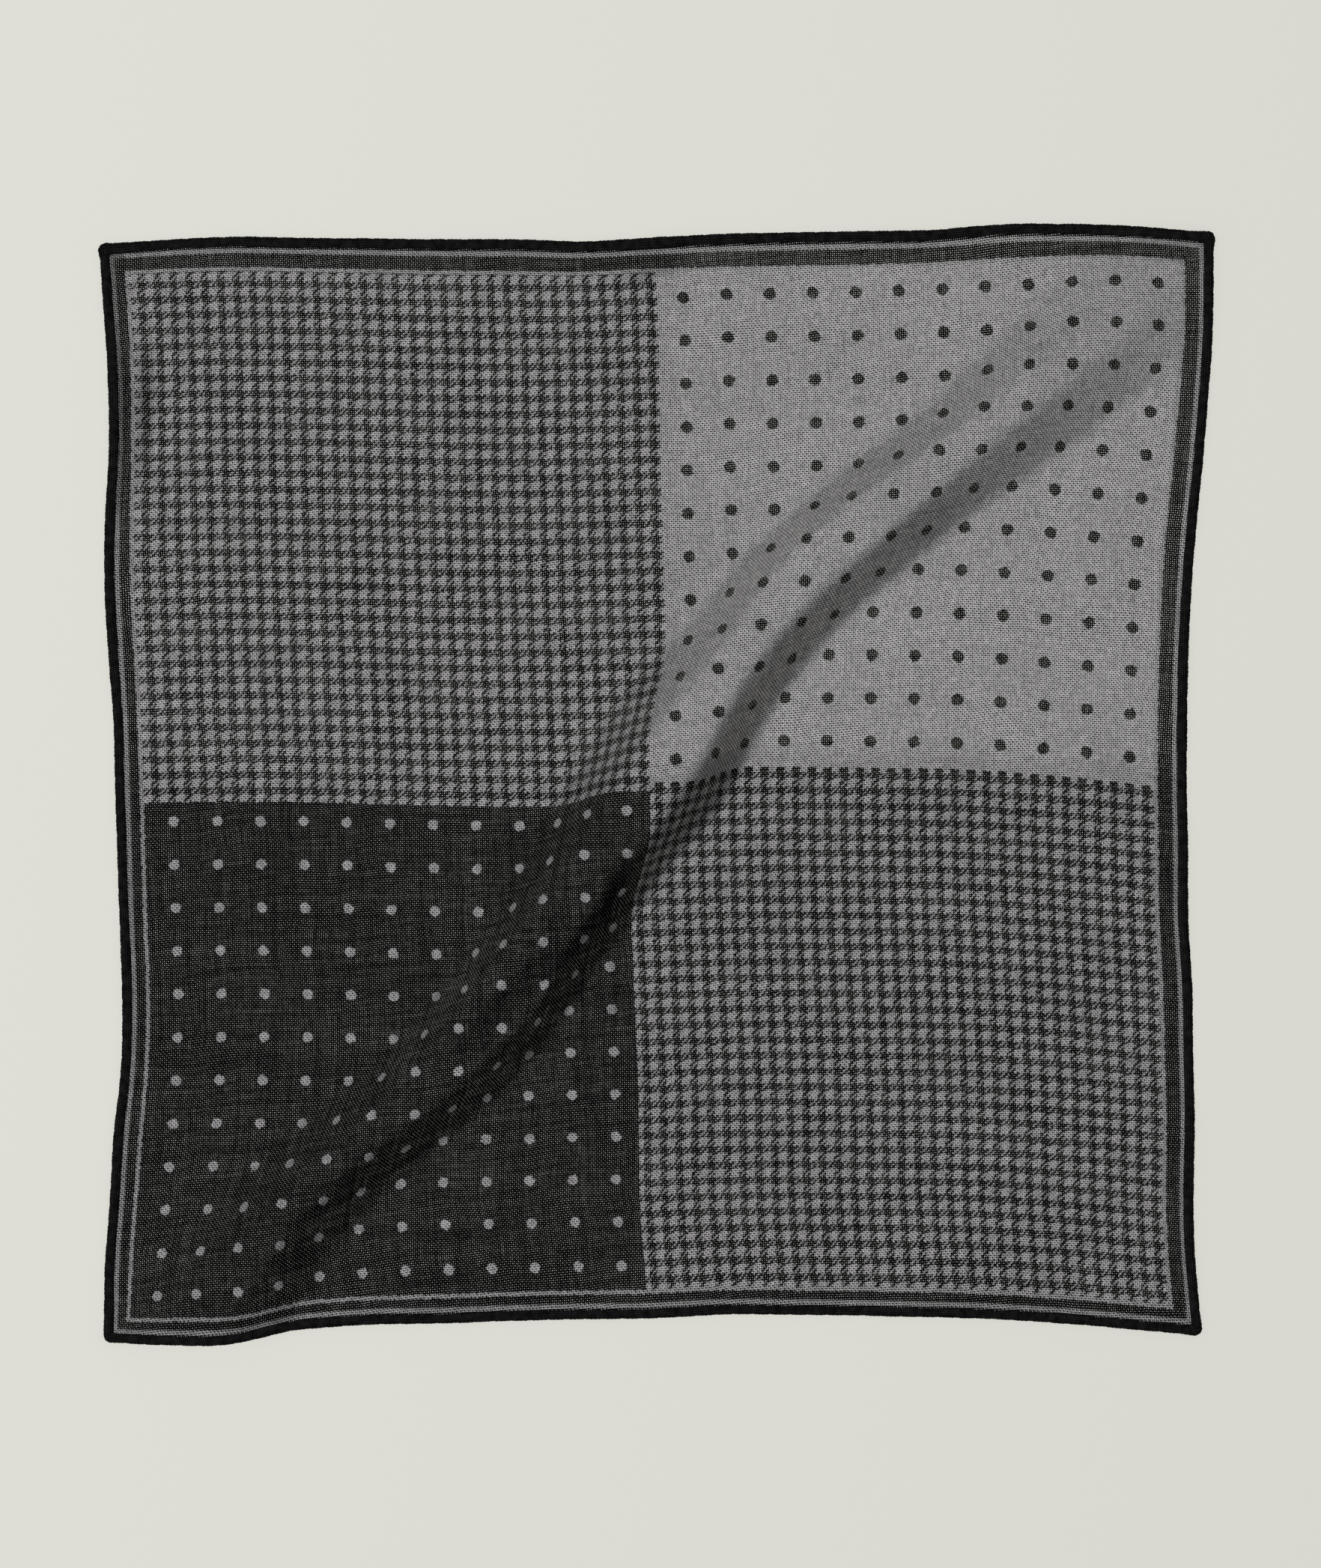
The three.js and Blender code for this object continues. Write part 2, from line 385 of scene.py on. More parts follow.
class Wire:
    """A shader socket that takes part in Python expressions."""

    def __init__(self, book: "NodeBook", socket: bpy.types.NodeSocket) -> None:
        """Wraps one output socket."""
        self.book = book
        self.socket = socket

    def math(self, operation: str, *others: "Wire | float", first: bool = True) -> "Wire":
        """Adds a Math node.

        Args:
            operation: The node's operation.
            others: The operation's other values.
            first: Whether this socket is the first value, and not the second.

        Returns:
            The node's result.
        """
        values = (self, *others) if first else (others[0], self)
        return self.book.add("ShaderNodeMath", {"operation": operation}, dict(enumerate(values)))

    def __add__(self, other: "Wire | float") -> "Wire":
        """Sum."""
        return self.math("ADD", other)

    def __sub__(self, other: "Wire | float") -> "Wire":
        """Difference."""
        return self.math("SUBTRACT", other)

    def __rsub__(self, other: float) -> "Wire":
        """Difference from a number."""
        return self.math("SUBTRACT", other, first=False)

    def __mul__(self, other: "Wire | float") -> "Wire":
        """Product."""
        return self.math("MULTIPLY", other)

    def __truediv__(self, other: "Wire | float") -> "Wire":
        """Quotient."""
        return self.math("DIVIDE", other)

    def __gt__(self, other: "Wire | float") -> "Wire":
        """1 where this is the larger, or else 0."""
        return self.math("GREATER_THAN", other)

    def __lt__(self, other: "Wire | float") -> "Wire":
        """1 where this is the smaller, or else 0."""
        return self.math("LESS_THAN", other)

    def __abs__(self) -> "Wire":
        """Size without its sign."""
        return self.math("ABSOLUTE")

    def __neg__(self) -> "Wire":
        """The opposite number."""
        return self.math("MULTIPLY", -1.0)

    __radd__ = __add__
    __rmul__ = __mul__

    def nearest(self) -> "Wire":
        """The nearest whole number."""
        return self.math("ROUND")

    def fract(self) -> "Wire":
        """What is left over a whole number."""
        return self.math("FRACT")

    def cosine(self) -> "Wire":
        """Cosine of an angle in radians."""
        return self.math("COSINE")

    def sine(self) -> "Wire":
        """Sine of an angle in radians."""
        return self.math("SINE")

    def larger(self, other: "Wire | float") -> "Wire":
        """The larger of two values."""
        return self.math("MAXIMUM", other)

    def smaller(self, other: "Wire | float") -> "Wire":
        """The smaller of two values."""
        return self.math("MINIMUM", other)

    def ramp(self, low: "Wire | float", high: "Wire | float") -> "Wire":
        """Adds a smooth step, which falls instead of rising where low is above high.

        Args:
            low: Where it is 0.
            high: Where it is 1.

        Returns:
            The step's height.
        """
        settings = {"interpolation_type": "SMOOTHSTEP", "clamp": True}
        inputs = {"Value": self, "From Min": low, "From Max": high, "To Min": 0.0, "To Max": 1.0}
        return self.book.add("ShaderNodeMapRange", settings, inputs)

    def between(self, low: float, high: float, soft: float) -> "Wire":
        """1 from low to high, with soft edges of that width."""
        half = soft / 2
        return self.ramp(low - half, low + half) * self.ramp(high + half, high - half)

    def blend(self, other: "Wire | float", share: "Wire | float") -> "Wire":
        """This value at share 0 and the other at share 1."""
        return self + (other - self) * share


class NodeBook:
    """The nodes of one tree."""

    def __init__(self, tree: bpy.types.NodeTree) -> None:
        """Takes a tree and empties it."""
        self.tree = tree
        self.tree.nodes.clear()

    def node(
        self,
        kind: str,
        settings: dict[str, object] | None = None,
        inputs: dict[str | int, object] | None = None,
    ) -> bpy.types.Node:
        """Adds any node.

        Args:
            kind: The node's type.
            settings: Its own settings, which are set first.
            inputs: Values or wires for its sockets, by name or number.

        Returns:
            The node.
        """
        node = self.tree.nodes.new(kind)
        for name, value in (settings or {}).items():
            setattr(node, name, value)
        for name, value in (inputs or {}).items():
            if isinstance(value, Wire):
                self.tree.links.new(value.socket, node.inputs[name])
            else:
                node.inputs[name].default_value = value
        return node

    def add(
        self,
        kind: str,
        settings: dict[str, object] | None = None,
        inputs: dict[str | int, object] | None = None,
        output: str | int = 0,
    ) -> Wire:
        """Adds any node and gives one of its outputs, by name or number."""
        return Wire(self, self.node(kind, settings, inputs).outputs[output])


class MaterialBook(NodeBook):
    """The nodes of one material."""

    def __init__(self, name: str) -> None:
        """Starts a material with an empty node tree.

        Args:
            name: The material's name.
        """
        self.material = bpy.data.materials.new(name)
        self.material.use_nodes = True
        super().__init__(self.material.node_tree)

    def flat_place(self, uv_map: str, width: float, height: float) -> tuple[Wire, Wire]:
        """Reads a UV map as lengths from its middle.

        Args:
            uv_map: The map's name.
            width: The length that the map's full width stands for.
            height: The length that its full height stands for.

        Returns:
            The two lengths.
        """
        uv = self.add("ShaderNodeUVMap", {"uv_map": uv_map})
        parts = self.node("ShaderNodeSeparateXYZ", inputs={"Vector": uv})
        across, up = Wire(self, parts.outputs["X"]), Wire(self, parts.outputs["Y"])
        return (across - 0.5) * width, (up - 0.5) * height

    def noise(self, x: Wire, y: Wire, detail: float = 0.0) -> Wire:
        """Adds smooth noise with features about 1 unit wide.

        Args:
            x: Place to the right.
            y: Place upwards.
            detail: How many finer layers it has.

        Returns:
            The noise, around 0 and from about -0.5 to 0.5.
        """
        at = self.add("ShaderNodeCombineXYZ", inputs={"X": x, "Y": y})
        inputs = {"Vector": at, "Scale": 1.0, "Detail": detail}
        return self.add("ShaderNodeTexNoise", {"noise_dimensions": "2D"}, inputs) - 0.5

    def mix_color(self, share: Wire, low: "Wire | tuple", high: "Wire | tuple") -> Wire:
        """One colour at share 0 and another at share 1."""
        # A Mix node's colours are its inputs 6 and 7, and its mixed colour is output 2.
        return self.add("ShaderNodeMix", {"data_type": "RGBA"}, {0: share, 6: low, 7: high}, output=2)

    def bump(self, height: Wire, strength: float, depth: float) -> Wire:
        """A normal bumped by a height from 0 to 1 that stands for that depth in metres."""
        inputs = {"Strength": strength, "Distance": depth, "Height": height}
        return self.add("ShaderNodeBump", inputs=inputs)

    def surface(self, inputs: dict[str | int, object]) -> bpy.types.Material:
        """Closes the material with its main shader.

        Args:
            inputs: Values or wires for the shader's sockets.

        Returns:
            The finished material.
        """
        shader = self.add("ShaderNodeBsdfPrincipled", inputs=inputs)
        self.node("ShaderNodeOutputMaterial", inputs={"Surface": shader})
        return self.material


def grey(level: float, tint: tuple[float, float, float] = (1.0, 1.0, 1.0)) -> tuple[float, ...]:
    """Makes a grey or lightly tinted colour.

    Args:
        level: How light it is, as a share of white.
        tint: What each of red, green and blue is multiplied by.

    Returns:
        The colour as red, green, blue and alpha.
    """
    return (*(level * part for part in tint), 1.0)


@dataclass(frozen=True)
class Yarns:
    """What one set of parallel yarns shows at a point, each value a wire of its own."""

    index: Wire
    cover: Wire
    roundness: Wire
    tone: Wire


@dataclass(frozen=True)
class Weave:
    """A plain weave of slightly uneven yarns, with open holes between them."""

    column_pitch: float = 0.586
    row_pitch: float = 0.628
    row_climb: float = 0.06
    yarn: float = 0.73
    fuzz: float = 0.10
    yarn_spread: float = 0.34
    hole_contrast: float = 0.07
    # How much painted shade darkens the yarns on slopes and where they close up.
    slope_shade: float = 0.40
    close_shade: float = 0.8
    drift: float = 5.0
    drift_size: float = 30.0
    slub_length: float = 2.6
    streak_spread: float = 0.28
    streak_length: float = 26.0
    tone_spread: float = 1.3
    body_shade: float = 0.31
    # Painted light on the yarns' thin edges beside the holes, where light shines through.
    edge_painted_light: float = 0.60
    # Painted shadows beside every other crossing, set aside from it away from the light.
    crossing_shadow_from: float = 0.04
    crossing_shadow_to: float = 0.36
    crossing_shadow_aside: float = 0.22
    crossing_shadow_depth: float = 1.05
    crossing_shadow_spread: float = 1.3
    # How far the noises below step from yarn to yarn, and shift from one another.
    uneven_step: float = 5.37
    uneven_shift: float = 0.71
    streak_step: float = 3.91
    streak_shift: float = 0.37
    column_step: float = 7.13
    row_step: float = 6.37
    row_kind: float = 71.0
    wander_shift: tuple[float, float] = (37.0, 11.0)

    def yarns(self, book: MaterialBook, across: Wire, along: Wire, wider: Wire, kind: float) -> Yarns:
        """Works out one set of parallel yarns at a point.

        Args:
            book: The material's nodes.
            across: The place across the yarns, in yarns.
            along: The place along them, in millimetres.
            wider: How much wider than usual the yarns are, in yarns.
            kind: A number that sets the columns' unevenness apart from the rows'.

        Returns:
            What these yarns show.
        """
        index = across.nearest()
        off = abs(across - index)
        slub = along / self.slub_length + index * self.uneven_shift
        uneven = book.noise(index * self.uneven_step + kind, slub, detail=2.0)
        run = along / self.streak_length + index * self.streak_shift
        streak = book.noise(index * self.streak_step + kind, run)
        half = (uneven * self.yarn_spread + streak * self.streak_spread + wider + self.yarn) / 2
        cover = (half - off).ramp(-self.fuzz / 2, self.fuzz / 2)
        edge = (off / half).smaller(1.0)
        return Yarns(index, cover, 1.0 - edge * edge, 1.0 - uneven * self.tone_spread)

    def threads(self, book: MaterialBook, u: Wire, v: Wire, steep: Wire, closed: Wire) -> dict[str, Wire]:
        """Works out the weave at a point.

        Args:
            book: The material's nodes.
            u: Place to the right, in millimetres.
            v: Place upwards, in millimetres.
            steep: How steep the cloth is, from 0 to 1. The yarns' colour is darkened on a slope, as
            painted shade.
            closed: How much wider the yarns are where the cloth is closed up, in yarns. Wider yarns are
            also painted darker, as painted shade.

        Returns:
            cover: 1 on yarn and 0 in a hole. Every other hole is larger.
            shade: How light the yarn on top shows its ink. It is near 0 in painted shadows beside every
            other crossing, on the side away from the light, and largest in painted light on the thin
            edges beside the holes, where light shines through.
            height: The surface's height for a bump, from 0 to 1.
            column, row: The numbers of the nearest yarns.
        """
        drift_u, drift_v = u / self.drift_size, v / self.drift_size
        shift_u, shift_v = self.wander_shift
        wander_u = book.noise(drift_u, drift_v, detail=2.0)
        wander_v = book.noise(drift_u + shift_u, drift_v + shift_v, detail=2.0)
        column_place = u / self.column_pitch + wander_u * self.drift
        row_place = (v - u * self.row_climb) / self.row_pitch + wander_v * self.drift
        column_turn, row_turn = column_place * math.pi, row_place * math.pi
        wider = closed + column_turn.sine() * row_turn.sine() * self.hole_contrast
        columns = self.yarns(book, column_place, v, wider, 0.0)
        rows = self.yarns(book, row_place, u, wider, self.row_kind)
        row_wave = row_turn.cosine()
        rise = column_turn.cosine() * row_wave
        on_column = (rise > 0.0).larger(1.0 - rows.cover) * columns.cover
        roundness = rows.roundness.blend(columns.roundness, on_column)
        tone = rows.tone.blend(columns.tone, on_column)
        crossing = book.noise(columns.index * self.column_step, rows.index * self.row_step)
        chance = crossing * self.crossing_shadow_spread + self.crossing_shadow_depth
        # Painted shadows beside every other crossing, set aside from it away from the light.
        beside = (column_turn - self.crossing_shadow_aside * math.pi).cosine() * row_wave * row_wave * row_wave
        crossing_shadow = beside.ramp(-self.crossing_shadow_from, -self.crossing_shadow_to) * chance.larger(0.0).smaller(1.0)
        # Painted light on the thin yarn edges beside the holes, where light shines through.
        painted_light = (1.0 - columns.roundness) * (1.0 - rows.roundness) * self.edge_painted_light
        shade = (1.0 - crossing_shadow) * (painted_light + self.body_shade) * tone
        # Painted shade on slopes and where the yarns close up.
        shade = shade * (1.0 - steep * self.slope_shade) * (1.0 - closed * self.close_shade)
        return {
            "cover": columns.cover.larger(rows.cover),
            "shade": shade,
            "height": abs(rise) * 0.5 + roundness * 0.5,
            "column": columns.index,
            "row": rows.index,
        }


class Panel(Enum):
    """The four printed panels and what each shows."""

    TOP_LEFT = "light checks on dark"
    TOP_RIGHT = "dark dots on light"
    BOTTOM_LEFT = "light dots on dark"
    BOTTOM_RIGHT = "more light checks on dark"


@dataclass(frozen=True)
class Tooth:
    """One repeat of the houndstooth, measured right and down from its corner.

    It is a light square whose top left corner is cut off and whose right side is stepped, with a small
    barb at its bottom left, and thin slanting lines in the gaps below it and to its right.
    """

    pitch: float = 4.714
    left: float = 1.10
    right: float = 3.80
    narrow_right: float = 3.47
    top: float = 0.93
    bottom: float = 3.65
    corner_cut: float = 3.85
    corner_lean: float = 1.7
    step_cut: float = 5.96
    barb_tip: tuple[float, float] = (0.55, 3.52)
    barb_spread: float = 1.25
    line_width: float = 0.46
    line_strength: float = 0.8
    below_line: float = 6.74
    below_tick: float = 8.20
    below_tick_from: float = 2.80
    beside_line: float = 7.56
    beside_tick: float = 5.83
    beside_tick_to: float = 4.75
    soft: float = 0.32

    def light(self, u: Wire, down: Wire) -> Wire:
        """How light the print is.

        Args:
            u: Place to the right of a repeat's corner.
            down: Place below it.

        Returns:
            1 in the light squares, less on the lines, and 0 elsewhere.
        """
        x = (u / self.pitch).fract() * self.pitch
        y = (down / self.pitch).fract() * self.pitch
        in_column = x.between(self.left, self.right, self.soft)
        in_row = y.between(self.top, self.bottom, self.soft)
        x_after = x + (x < self.left) * self.pitch
        y_after = y + (y < self.top) * self.pitch
        below = self.stripe(x + y_after, self.below_line)
        below_tick = self.stripe(x + y_after, self.below_tick) * (x > self.below_tick_from)
        beside = self.stripe(x_after + y, self.beside_line)
        beside_tick = self.stripe(x_after + y, self.beside_tick) * (x_after < self.beside_tick_to)
        lines_below = below.larger(below_tick) * in_column * (1.0 - in_row)
        lines_beside = beside.larger(beside_tick) * in_row * (1.0 - in_column)
        lines = lines_below.larger(lines_beside) * self.line_strength
        return self.square(x, y, in_column * in_row).larger(self.barb(x, y)).larger(lines)

    def square(self, x: Wire, y: Wire, whole: Wire) -> Wire:
        """Draws the light square, without its cut corner and with the step in its right side.

        Args:
            x: Place to the right of a repeat's corner.
            y: Place below it.
            whole: 1 in the square before its corner and side are cut.

        Returns:
            1 in the square and 0 outside.
        """
        half = self.soft / 2
        corner = (x + y * self.corner_lean).ramp(self.corner_cut - half, self.corner_cut + half)
        narrow = x.ramp(self.narrow_right + half, self.narrow_right - half)
        step = (x + y).ramp(self.step_cut + half, self.step_cut - half)
        return whole * corner * narrow.larger(step)

    def barb(self, x: Wire, y: Wire) -> Wire:
        """The small point that reaches out of the square at its bottom left."""
        reach = x - self.barb_tip[0] - abs(y - self.barb_tip[1]) * self.barb_spread
        return reach.ramp(-self.soft / 2, self.soft / 2) * (x < self.left + self.soft)

    def stripe(self, diagonal: Wire, middle: float) -> Wire:
        """A slanting line where the diagonal place is near its middle."""
        half = self.line_width * math.sqrt(2) / 2
        return abs(diagonal - middle).ramp(half + self.soft / 2, half - self.soft / 2)


@dataclass(frozen=True)
class Dots:
    """A square lattice of round dots."""

    first_u: float
    first_v: float
    radius: float
    pitch: float = 12.82
    soft: float = 0.35

    def mask(self, u: Wire, v: Wire) -> Wire:
        """Draws the dots.

        Args:
            u: Place to the right.
            v: Place upwards.

        Returns:
            1 inside a dot and 0 outside.
        """
        across = (u - self.first_u) / self.pitch
        up = (v - self.first_v) / self.pitch
        du = (across - across.nearest()) * self.pitch
        dv = (up - up.nearest()) * self.pitch
        reach = (du * du + dv * dv).math("SQRT")
        return reach.ramp(self.radius + self.soft / 2, self.radius - self.soft / 2)


@dataclass(frozen=True)
class Border:
    """The plain border: a light line round the panels, a dark band and a light line beside the hem."""

    left: float = -157.9
    right: float = 156.5
    top: float = 155.4
    bottom: float = -158.3
    line: float = 1.1
    edge_line_from: float = 3.0
    edge_line_to: float = 4.5
    top_line_from: float = 3.7
    top_line_to: float = 5.4
    edge_tick: float = 1.22
    edge_strength: float = 0.68
    faint_from: float = 75.0
    faint_fade: float = 12.0
    faint_share: float = 0.55
    line_strength: float = 0.8
    soft: float = 0.3

    def inside(self, u: Wire, v: Wire, inset: float) -> Wire:
        """1 inside the panels' frame, drawn in by some inset."""
        across = u.between(self.left + inset, self.right - inset, self.soft)
        return across * v.between(self.bottom + inset, self.top - inset, self.soft)

    def edge_line(self, u: Wire, v: Wire) -> Wire:
        """Draws the light line beside the hem, its inner edge broken into slanting ticks.

        Args:
            u: Place to the right.
            v: Place upwards.

        Returns:
            How light the line is, and 0 outside it. It is fainter high up on the left, as painted shade of
            the fold there.
        """
        inset = HALF - abs(u).larger(-v)
        top_inset = HALF - v
        slanted = (u + v + inset.smaller(top_inset)) / self.edge_tick
        tooth = abs(slanted.fract() - 0.5)
        half = self.soft / 2
        outer = inset.ramp(self.edge_line_from - half, self.edge_line_from + half)
        outer = outer * top_inset.ramp(self.top_line_from - half, self.top_line_from + half)
        inner = (inset + tooth).ramp(self.edge_line_to - half, self.edge_line_to + half)
        inner = inner * (top_inset + tooth).ramp(self.top_line_to - half, self.top_line_to + half)
        # Painted shade: the line is fainter high up on the left, where a fold beside the hem lies in shade.
        high_up = v.ramp(self.faint_from, self.faint_from + self.faint_fade)
        faint = (u < self.left) * high_up * self.faint_share
        return outer * (1.0 - inner) * (1.0 - faint) * self.edge_strength


@dataclass(frozen=True)
class Print:
    """The whole print, panel by panel."""

    divide_u: float = -0.44
    left_divide_v: float = -3.78
    right_divide_v: float = -2.9
    tip_rise: float = 1.5
    tip_inset: float = 0.3
    slip: float = 0.7
    slip_size: float = 9.0
    slip_shift: float = 29.0
    row_step: float = 3.71
    column_step: float = 4.13
    bleed: float = 0.25
    bleed_size: float = 0.9
    bleed_shift: float = 53.0
    tooth: Tooth = field(default_factory=Tooth)
    border: Border = field(default_factory=Border)
    dark_dots: Dots = Dots(first_u=7.34, first_v=147.43, radius=1.80)
    light_dots: Dots = Dots(first_u=-148.35, first_v=-9.56, radius=1.5)
    first_column_to: float = 14.0
    first_column_drop: float = 1.0
    top_left_corner: tuple[float, float] = (-162.8, 155.06)
    bottom_right_corner: tuple[float, float] = (-7.25, -3.74)

    def light(self, book: MaterialBook, exact_u: Wire, exact_v: Wire, yarn: dict[str, Wire]) -> Wire:
        """How light the print is.

        Args:
            book: The material's nodes.
            exact_u: Place to the right, in millimetres.
            exact_v: Place upwards, in millimetres.
            yarn: What the weave shows there. Each yarn slips a little after printing.

        Returns:
            0 for the dark ink to 1 for the light one.
        """
        at_u, at_v = exact_u / self.bleed_size, exact_v / self.bleed_size
        bleed_u = book.noise(at_u, at_v) * self.bleed
        bleed_v = book.noise(at_u, at_v + self.bleed_shift) * self.bleed
        slip_u = book.noise(yarn["row"] * self.row_step, exact_u / self.slip_size)
        slip_v = book.noise(yarn["column"] * self.column_step, exact_v / self.slip_size + self.slip_shift)
        u = exact_u + bleed_u + slip_u * self.slip
        v = exact_v + bleed_v + slip_v * self.slip
        first_column = (u < self.first_column_to) * self.first_column_drop
        panels = {
            Panel.TOP_LEFT: self.checks(u, v, self.top_left_corner),
            Panel.TOP_RIGHT: 1.0 - self.dark_dots.mask(u, v + first_column),
            Panel.BOTTOM_LEFT: self.light_dots.mask(u, v),
            Panel.BOTTOM_RIGHT: self.checks(u, v, self.bottom_right_corner),
        }
        at_right = u > self.divide_u
        left = panels[Panel.BOTTOM_LEFT].blend(panels[Panel.TOP_LEFT], v > self.left_divide_v)
        right = panels[Panel.BOTTOM_RIGHT].blend(panels[Panel.TOP_RIGHT], v > self.right_divide_v)
        tips = self.bar_tips(u, v)
        ground = left.blend(right * (1.0 - tips), at_right)
        inner = self.border.inside(u, v, self.border.line)
        outer = self.border.inside(u, v, 0.0)
        framed = ground * inner + outer * (1.0 - inner) * self.border.line_strength
        return framed.larger(self.border.edge_line(exact_u, exact_v))

    def checks(self, u: Wire, v: Wire, corner: tuple[float, float]) -> Wire:
        """The houndstooth, with a repeat's corner at that place."""
        return self.tooth.light(u - corner[0], corner[1] - v)

    def bar_tips(self, u: Wire, v: Wire) -> Wire:
        """Draws the tips of the lower right panel's dark bars, which reach up into the panel above.

        Args:
            u: Place to the right.
            v: Place upwards.

        Returns:
            1 in a tip and 0 outside.
        """
        tooth = self.tooth
        x = ((u - self.bottom_right_corner[0]) / tooth.pitch).fract() * tooth.pitch
        in_bar = 1.0 - x.between(tooth.left + self.tip_inset, tooth.right - self.tip_inset, tooth.soft)
        return in_bar * v.between(self.right_divide_v, self.right_divide_v + self.tip_rise, tooth.soft)


@dataclass(frozen=True)
class ClothFinish:
    """The printed cloth: near-black and light grey inks on an open plain weave."""

    dark_low: float = 0.0008
    dark_high: float = 0.012
    light_low: float = 0.008
    light_high: float = 0.69
    tint: tuple[float, float, float] = (1.03, 1.0, 1.03)
    blotch: float = 0.16
    blotch_size: float = 34.0
    roughness: float = 0.9
    specular: float = 0.0
    bump_depth: float = 0.00010
    bump_strength: float = 0.35
    steep_name: str = "steepness"
    # The attribute for wider yarns, which also carries painted shade.
    closed_and_shade_name: str = "closed_weave_and_shade"
    weave: Weave = field(default_factory=Weave)
    print: Print = field(default_factory=Print)

    def material(self, uv_map: str) -> bpy.types.Material:
        """Makes the material.

        Args:
            uv_map: The UV map that spans the flat cloth.

        Returns:
            The finished material.
        """
        book = MaterialBook("printed open weave")
        u, v = book.flat_place(uv_map, SIDE, SIDE)
        steep = book.add("ShaderNodeAttribute", {"attribute_name": self.steep_name}, output="Fac")
        closed = book.add("ShaderNodeAttribute", {"attribute_name": self.closed_and_shade_name}, output="Fac")
        yarn = self.weave.threads(book, u, v, steep, closed)
        light = self.print.light(book, u, v, yarn)
        blotch = book.noise(u / self.blotch_size, v / self.blotch_size, detail=2.0) * self.blotch + 1.0
        # The yarns' painted shadows, painted light and painted shade, times random blotches of tone.
        shade = (yarn["shade"] * blotch).smaller(1.0)
        dark_ink = book.mix_color(shade, grey(self.dark_low, self.tint), grey(self.dark_high, self.tint))
        light_ink = book.mix_color(shade, grey(self.light_low, self.tint), grey(self.light_high, self.tint))
        inputs = {
            "Base Color": book.mix_color(light, dark_ink, light_ink),
            "Roughness": self.roughness,
            "Alpha": yarn["cover"],
            "Normal": book.bump(yarn["height"], self.bump_strength, self.bump_depth),
            "Specular IOR Level": self.specular,
        }
        return book.surface(inputs)


@dataclass(frozen=True)
class HemFinish:
    """The rolled edge: the same cloth, dark all over and several layers thick, so it has no holes."""

    dark: float = 0.001
    light: float = 0.017
    pitch: float = 0.61
    slant: float = 0.35
    relief_from: float = 0.45
    shade_from: float = 0.25
    shade_to: float = 1.3
    patch_size: float = 2.3
    patch_strength: float = 1.2
    roughness: float = 0.85
    specular: float = 0.04
    bump_depth: float = 0.00022
    bump_strength: float = 0.8

    def material(self, uv_map: str, length: float, girth: float) -> bpy.types.Material:
        """Makes the material.

        Args:
            uv_map: The UV map that runs along and round the roll.
            length: The roll's whole length.
            girth: The way round it.

        Returns:
            The finished material.
        """
        book = MaterialBook("rolled hem")
        along, round_it = book.flat_place(uv_map, length, girth)
        column = (along + round_it * self.slant) / self.pitch
        row = round_it / self.pitch
        column_index, row_index = column.nearest(), row.nearest()
        column_top = ((row + column_index) * math.pi).cosine() * 0.5 + 0.5
        row_top = 0.5 - ((column + row_index) * math.pi).cosine() * 0.5
        off_column = abs(column - column_index) * 2.0
        off_row = abs(row - row_index) * 2.0
        column_height = column_top + 1.0 - off_column * off_column
        row_height = row_top + 1.0 - off_row * off_row
        height = column_height.larger(row_height) * 0.5
        patches = book.noise(along / self.patch_size, round_it / self.patch_size, detail=2.0)
        # The yarns' raised tops are painted lighter and the gaps between them darker, as painted shade, with
        # random patches of tone.
        relief = height.ramp(self.relief_from, 1.0) + patches * self.patch_strength
        shade = relief.ramp(self.shade_from, self.shade_to)
        inputs = {
            "Base Color": book.mix_color(shade, grey(self.dark), grey(self.light)),
            "Roughness": self.roughness,
            "Normal": book.bump(height, self.bump_strength, self.bump_depth),
            "Specular IOR Level": self.specular,
        }
        return book.surface(inputs)


@dataclass(frozen=True)
class SewingThread:
    """The near-black thread of the hem's stitches."""

    level: float = 0.012
    shaded: float = 0.4
    roughness: float = 0.55
    specular: float = 0.3
    ply: float = 0.35
    ply_lean: float = 1.7

    def material(self) -> bpy.types.Material:
        """Makes the material, with the thread's twist as fine slanting stripes, darker in the grooves as
        painted shade.

        Returns:
            The finished material.
        """
        book = MaterialBook("sewing thread")
        place = book.add("ShaderNodeTexCoord", output="Object")
        parts = book.node("ShaderNodeSeparateXYZ", inputs={"Vector": place})
        x, y = Wire(book, parts.outputs["X"]), Wire(book, parts.outputs["Y"])
        twist = ((x + y * self.ply_lean) * (2 * math.pi / (self.ply * MM))).cosine() * 0.5 + 0.5
        inputs = {
            "Base Color": book.mix_color(twist, grey(self.level * self.shaded), grey(self.level)),
            "Roughness": self.roughness,
            "Specular IOR Level": self.specular,
        }
        return book.surface(inputs)


def make_object(name: str, points: Array, faces: list[list[int]]) -> bpy.types.Object:
    """Makes a smooth-shaded mesh object at the origin.

    Args:
        name: The piece's name.
        points: A row (x, y, z) for each vertex, in millimetres.
        faces: Vertex numbers, round each face.

    Returns:
        The new object, in the scene.
    """
    mesh = bpy.data.meshes.new(name)
    mesh.from_pydata((points * MM).tolist(), [], faces)
    mesh.shade_smooth()
    piece = bpy.data.objects.new(name, mesh)
    bpy.context.scene.collection.objects.link(piece)
    return piece


def give_uv(piece: bpy.types.Object, name: str, corner_uv: Array) -> None:
    """Gives a piece a UV map with one place for each face corner."""
    layer = piece.data.uv_layers.new(name=name)
    layer.uv.foreach_set("vector", corner_uv.astype(np.float32).ravel())


